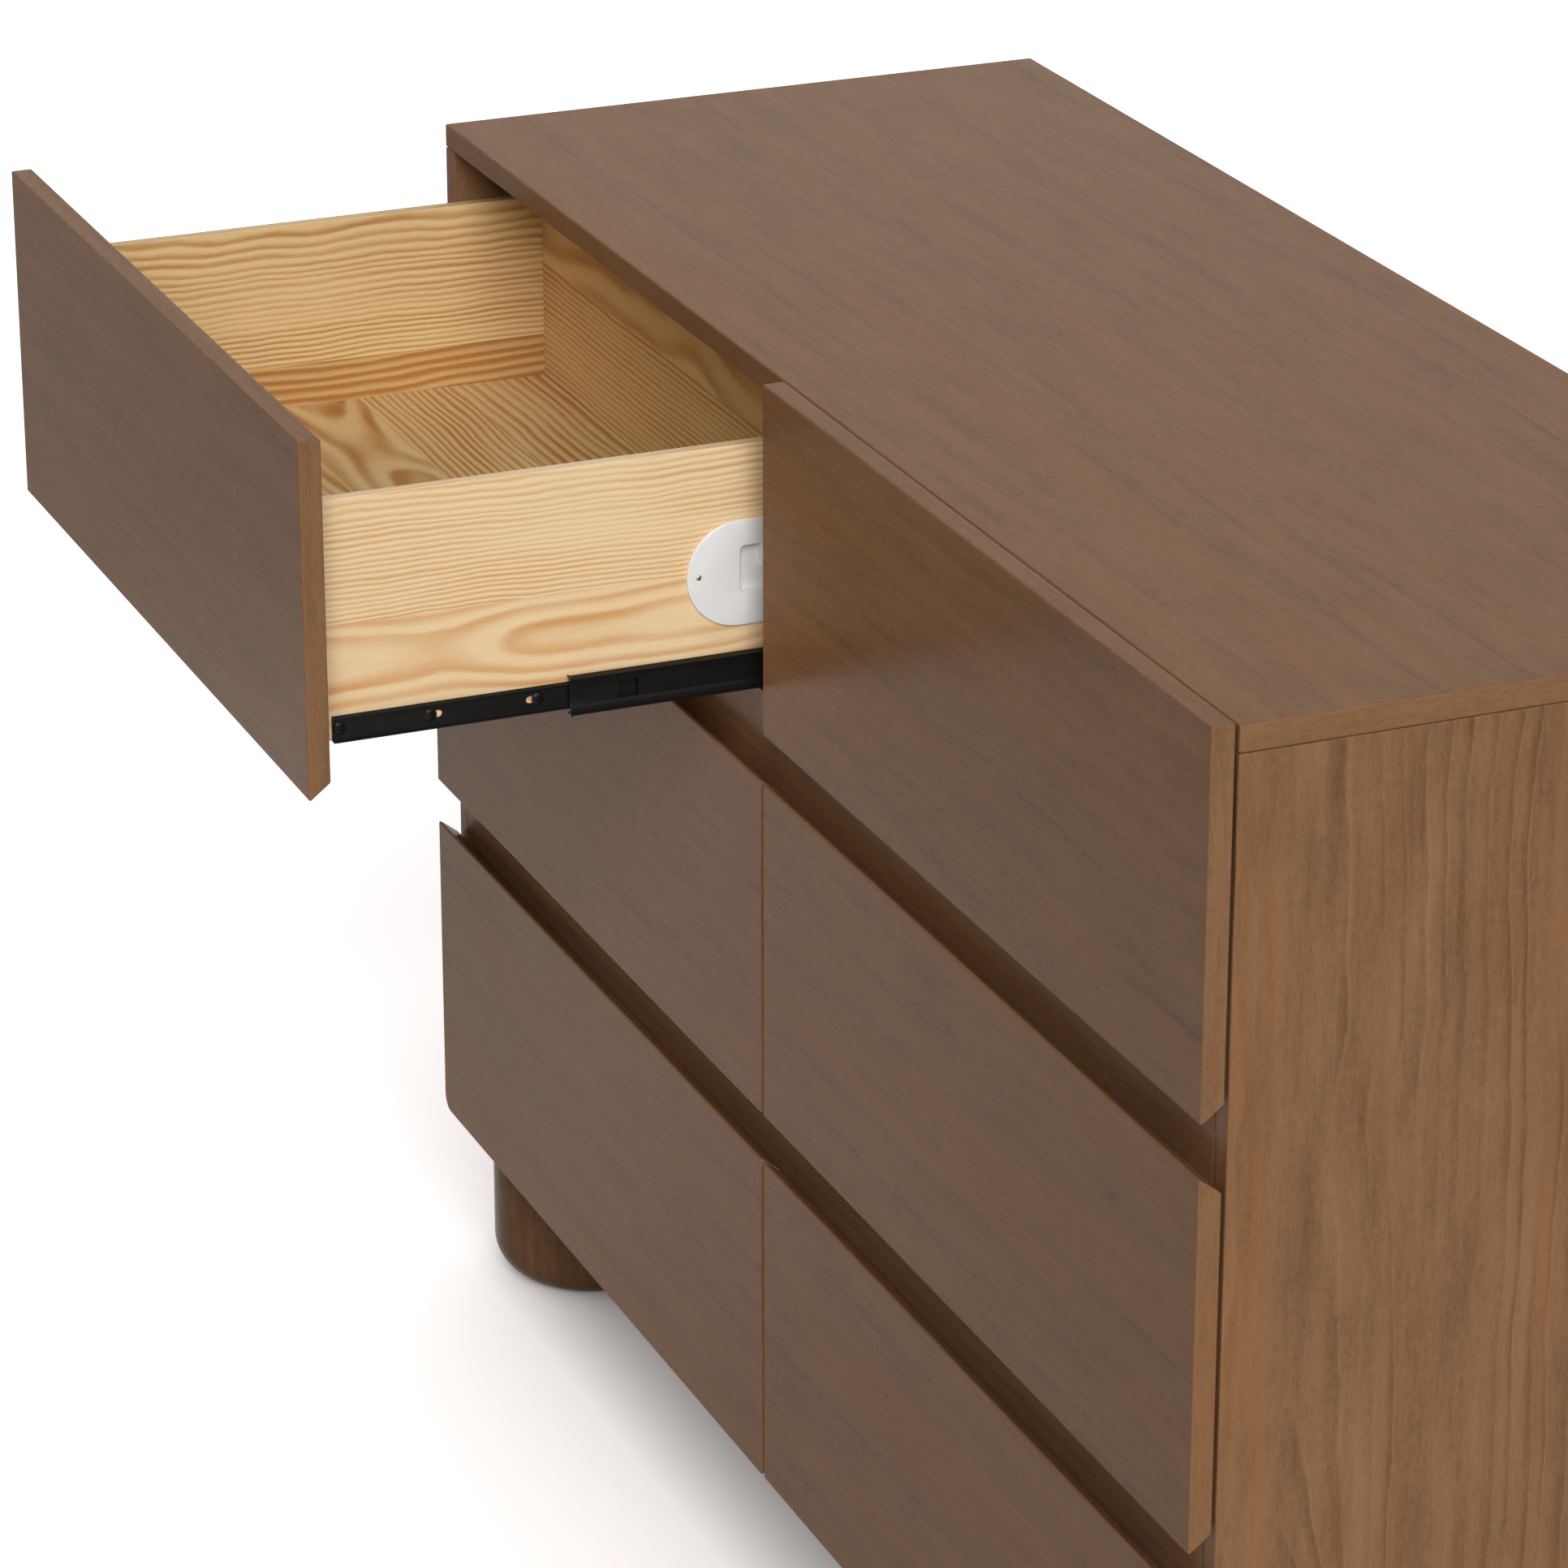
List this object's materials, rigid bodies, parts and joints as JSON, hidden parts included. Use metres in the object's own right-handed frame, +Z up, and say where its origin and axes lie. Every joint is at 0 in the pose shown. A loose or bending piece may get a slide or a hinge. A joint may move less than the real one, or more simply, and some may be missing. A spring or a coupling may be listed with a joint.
{
  "type": "dresser",
  "caption": "Wide low dresser with drawers side by side on ball-bearing runners, finger gaps in place of handles, thick round legs, and a top drawer pulled out.",
  "frame": {"origin": "on the floor, at the centre of the rest pose's footprint, which takes in the drawer that stands open", "axes": "+X to the right as seen from the front, +Y from the drawers' fronts to the back, +Z up; the drawers open along -Y"},
  "size_m": [1.372, 0.8476, 0.9569],
  "materials": {
    "walnut_front": "walnut veneer under a greyish brown satin stain, grain along the width",
    "walnut_top": "walnut veneer, satin, a little lighter, grain along the width",
    "walnut_side": "walnut veneer, satin, warmer brown, upright grain",
    "walnut_back": "stained panel, matt",
    "walnut_leg": "dark walnut stain, satin",
    "pine": "solid pine boards, clear matt lacquer",
    "black_steel": "black satin coating on sheet steel",
    "white_plastic": "moulded, soft gloss"
  },
  "bodies": {
    "case": {"top_panel": "walnut_top", "left_side_panel": "walnut_side", "right_side_panel": "walnut_side", "base_panel": "walnut_side", "back_panel": "walnut_back", "divider": "walnut_side", "front_frame": "walnut_side", "front_left_leg": "walnut_leg", "front_right_leg": "walnut_leg", "rear_left_leg": "walnut_leg", "rear_right_leg": "walnut_leg", "bottom_left_case_runner_left": "black_steel", "bottom_left_case_runner_right": "black_steel", "bottom_right_case_runner_left": "black_steel", "bottom_right_case_runner_right": "black_steel", "middle_left_case_runner_left": "black_steel", "middle_left_case_runner_right": "black_steel", "middle_right_case_runner_left": "black_steel", "middle_right_case_runner_right": "black_steel", "top_left_case_runner_left": "black_steel", "top_left_case_runner_right": "black_steel", "top_right_case_runner_left": "black_steel", "top_right_case_runner_right": "black_steel"},
    "bottom_left_drawer": {"bottom_left_drawer_front": "walnut_front", "bottom_left_drawer_box": "pine", "bottom_left_drawer_runner_left": "black_steel", "bottom_left_drawer_runner_right": "black_steel"},
    "bottom_left_middle_runners": {"bottom_left_middle_runner_left": "black_steel", "bottom_left_middle_runner_right": "black_steel"},
    "bottom_right_drawer": {"bottom_right_drawer_front": "walnut_front", "bottom_right_drawer_box": "pine", "bottom_right_drawer_runner_left": "black_steel", "bottom_right_drawer_runner_right": "black_steel"},
    "bottom_right_middle_runners": {"bottom_right_middle_runner_left": "black_steel", "bottom_right_middle_runner_right": "black_steel"},
    "middle_left_drawer": {"middle_left_drawer_front": "walnut_front", "middle_left_drawer_box": "pine", "middle_left_drawer_runner_left": "black_steel", "middle_left_drawer_runner_right": "black_steel"},
    "middle_left_middle_runners": {"middle_left_middle_runner_left": "black_steel", "middle_left_middle_runner_right": "black_steel"},
    "middle_right_drawer": {"middle_right_drawer_front": "walnut_front", "middle_right_drawer_box": "pine", "middle_right_drawer_runner_left": "black_steel", "middle_right_drawer_runner_right": "black_steel"},
    "middle_right_middle_runners": {"middle_right_middle_runner_left": "black_steel", "middle_right_middle_runner_right": "black_steel"},
    "top_left_drawer": {"top_left_drawer_front": "walnut_front", "top_left_drawer_box": "pine", "top_left_drawer_runner_left": "black_steel", "top_left_drawer_runner_right": "black_steel", "top_left_interlock_plate": "white_plastic"},
    "top_left_middle_runners": {"top_left_middle_runner_left": "black_steel", "top_left_middle_runner_right": "black_steel"},
    "top_right_drawer": {"top_right_drawer_front": "walnut_front", "top_right_drawer_box": "pine", "top_right_drawer_runner_left": "black_steel", "top_right_drawer_runner_right": "black_steel"},
    "top_right_middle_runners": {"top_right_middle_runner_left": "black_steel", "top_right_middle_runner_right": "black_steel"}
  },
  "joints": [
    {"name": "bottom_left_drawer_slide", "type": "slide", "parent": "case", "child": "bottom_left_drawer", "axis": [0, -1, 0], "range_m": [0, 0.4]},
    {"name": "bottom_left_runner_slide", "type": "slide", "parent": "case", "child": "bottom_left_middle_runners", "axis": [0, -1, 0], "range_m": [0, 0.2]},
    {"name": "bottom_right_drawer_slide", "type": "slide", "parent": "case", "child": "bottom_right_drawer", "axis": [0, -1, 0], "range_m": [0, 0.4]},
    {"name": "bottom_right_runner_slide", "type": "slide", "parent": "case", "child": "bottom_right_middle_runners", "axis": [0, -1, 0], "range_m": [0, 0.2]},
    {"name": "middle_left_drawer_slide", "type": "slide", "parent": "case", "child": "middle_left_drawer", "axis": [0, -1, 0], "range_m": [0, 0.4]},
    {"name": "middle_left_runner_slide", "type": "slide", "parent": "case", "child": "middle_left_middle_runners", "axis": [0, -1, 0], "range_m": [0, 0.2]},
    {"name": "middle_right_drawer_slide", "type": "slide", "parent": "case", "child": "middle_right_drawer", "axis": [0, -1, 0], "range_m": [0, 0.4]},
    {"name": "middle_right_runner_slide", "type": "slide", "parent": "case", "child": "middle_right_middle_runners", "axis": [0, -1, 0], "range_m": [0, 0.2]},
    {"name": "top_left_drawer_slide", "type": "slide", "parent": "case", "child": "top_left_drawer", "axis": [0, -1, 0], "range_m": [-0.329, 0.071]},
    {"name": "top_left_runner_slide", "type": "slide", "parent": "case", "child": "top_left_middle_runners", "axis": [0, -1, 0], "range_m": [-0.1645, 0.0355]},
    {"name": "top_right_drawer_slide", "type": "slide", "parent": "case", "child": "top_right_drawer", "axis": [0, -1, 0], "range_m": [0, 0.4]},
    {"name": "top_right_runner_slide", "type": "slide", "parent": "case", "child": "top_right_middle_runners", "axis": [0, -1, 0], "range_m": [0, 0.2]}
  ],
  "couplings": [
    {"joint": "bottom_left_runner_slide", "follows": "bottom_left_drawer_slide", "ratio": 0.5},
    {"joint": "bottom_right_runner_slide", "follows": "bottom_right_drawer_slide", "ratio": 0.5},
    {"joint": "middle_left_runner_slide", "follows": "middle_left_drawer_slide", "ratio": 0.5},
    {"joint": "middle_right_runner_slide", "follows": "middle_right_drawer_slide", "ratio": 0.5},
    {"joint": "top_left_runner_slide", "follows": "top_left_drawer_slide", "ratio": 0.5},
    {"joint": "top_right_runner_slide", "follows": "top_right_drawer_slide", "ratio": 0.5}
  ]
}
